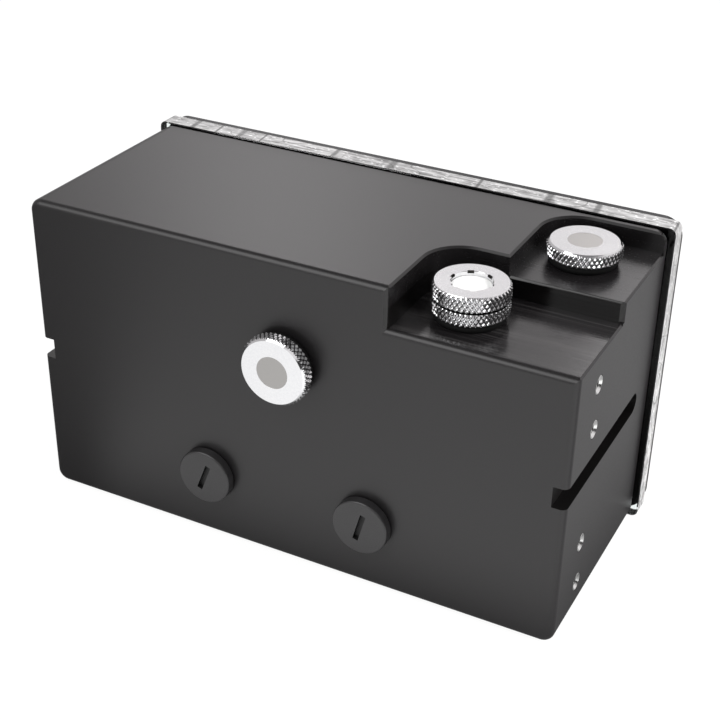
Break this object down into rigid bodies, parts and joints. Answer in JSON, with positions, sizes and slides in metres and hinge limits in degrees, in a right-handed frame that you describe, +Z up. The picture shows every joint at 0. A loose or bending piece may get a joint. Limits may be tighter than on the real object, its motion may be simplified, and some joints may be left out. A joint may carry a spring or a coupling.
{
  "type": "liquid cooling reservoir",
  "caption": "Drive-bay coolant reservoir: milled block with a clear front plate, stepped top, threaded ports closed by screwed plugs and a two-part vent plug.",
  "frame": {"origin": "under the middle of the whole part's box, on its lowest plane", "axes": "+Z up as the bay stands, -Y out of the window, +Y out of the ports, +X to the right seen from the window"},
  "size_m": [0.1494, 0.0738, 0.0853],
  "materials": {
    "black_housing": "milled acetal, fine satin black",
    "clear_acrylic": "polished clear acrylic",
    "black_rubber": "moulded nitrile",
    "black_anodised": "fine brushed, black anodised",
    "black_steel": "black oxide",
    "brass": "turned",
    "plated_insert": "nickel plated, turned",
    "chrome": "turned face, knurled rim, plated",
    "white_membrane": "fine porous sheet",
    "black_nylon": "moulded"
  },
  "bodies": {
    "reservoir": {"reservoir_body": "black_housing", "window_plate": "clear_acrylic", "window_seal": "black_rubber", "front_bezel": "black_anodised", "front_screws": "black_steel", "front_inserts": "brass", "rail_inserts_left": "plated_insert", "rail_inserts_right": "plated_insert"},
    "vent_base_seal": {"vent_base_ring": "black_rubber"},
    "vent_base": {"vent_base": "chrome"},
    "fill_plug_seal": {"fill_plug_ring": "black_rubber"},
    "fill_plug": {"fill_plug": "chrome"},
    "return_plug_seal": {"return_plug_ring": "black_rubber"},
    "return_plug": {"return_plug": "chrome"},
    "drain_plug_left_seal": {"drain_plug_left_ring": "black_rubber"},
    "drain_plug_left": {"drain_plug_left": "black_nylon"},
    "drain_plug_right_seal": {"drain_plug_right_ring": "black_rubber"},
    "drain_plug_right": {"drain_plug_right": "black_nylon"},
    "vent_cap_seal": {"vent_cap_ring": "black_rubber"},
    "vent_cap": {"vent_cap": "chrome", "vent_membrane": "white_membrane"}
  },
  "joints": [
    {"name": "vent_base_lift", "type": "slide", "parent": "reservoir", "child": "vent_base_seal", "axis": [0, 0, 1], "range_m": [0, 0.00535]},
    {"name": "vent_base_turn", "type": "hinge", "parent": "vent_base_seal", "child": "vent_base", "pos_m": [-0.04097, 0.01657, 0.0741], "axis": [0, 0, 1], "range_deg": [0, 1440]},
    {"name": "fill_plug_lift", "type": "slide", "parent": "reservoir", "child": "fill_plug_seal", "axis": [0, 0, 1], "range_m": [0, 0.00535]},
    {"name": "fill_plug_turn", "type": "hinge", "parent": "fill_plug_seal", "child": "fill_plug", "pos_m": [-0.05708, -0.01353, 0.0795], "axis": [0, 0, 1], "range_deg": [0, 1440]},
    {"name": "return_plug_lift", "type": "slide", "parent": "reservoir", "child": "return_plug_seal", "axis": [0, 1, 0], "range_m": [0, 0.00535]},
    {"name": "return_plug_turn", "type": "hinge", "parent": "return_plug_seal", "child": "return_plug", "pos_m": [0, 0.03148, 0.058], "axis": [0, 1, 0], "range_deg": [0, 1440]},
    {"name": "drain_plug_left_lift", "type": "slide", "parent": "reservoir", "child": "drain_plug_left_seal", "axis": [0, 1, 0], "range_m": [0, 0.00535]},
    {"name": "drain_plug_left_turn", "type": "hinge", "parent": "drain_plug_left_seal", "child": "drain_plug_left", "pos_m": [0.0224, 0.03148, 0.0191], "axis": [0, 1, 0], "range_deg": [0, 1440]},
    {"name": "drain_plug_right_lift", "type": "slide", "parent": "reservoir", "child": "drain_plug_right_seal", "axis": [0, 1, 0], "range_m": [0, 0.00535]},
    {"name": "drain_plug_right_turn", "type": "hinge", "parent": "drain_plug_right_seal", "child": "drain_plug_right", "pos_m": [-0.0224, 0.03148, 0.0191], "axis": [0, 1, 0], "range_deg": [0, 1440]},
    {"name": "vent_cap_lift", "type": "slide", "parent": "vent_base", "child": "vent_cap_seal", "axis": [0, 0, 1], "range_m": [0, 0.001]},
    {"name": "vent_cap_turn", "type": "hinge", "parent": "vent_cap_seal", "child": "vent_cap", "pos_m": [-0.04097, 0.01657, 0.0798], "axis": [0, 0, 1], "range_deg": [0, 360]}
  ],
  "couplings": [
    {"joint": "vent_base_turn", "follows": "vent_base_lift", "rad_per_m": 4699.5},
    {"joint": "fill_plug_turn", "follows": "fill_plug_lift", "rad_per_m": 4699.5},
    {"joint": "return_plug_turn", "follows": "return_plug_lift", "rad_per_m": 4699.5},
    {"joint": "drain_plug_left_turn", "follows": "drain_plug_left_lift", "rad_per_m": 4699.5},
    {"joint": "drain_plug_right_turn", "follows": "drain_plug_right_lift", "rad_per_m": 4699.5},
    {"joint": "vent_cap_turn", "follows": "vent_cap_lift", "rad_per_m": 6283.2}
  ]
}
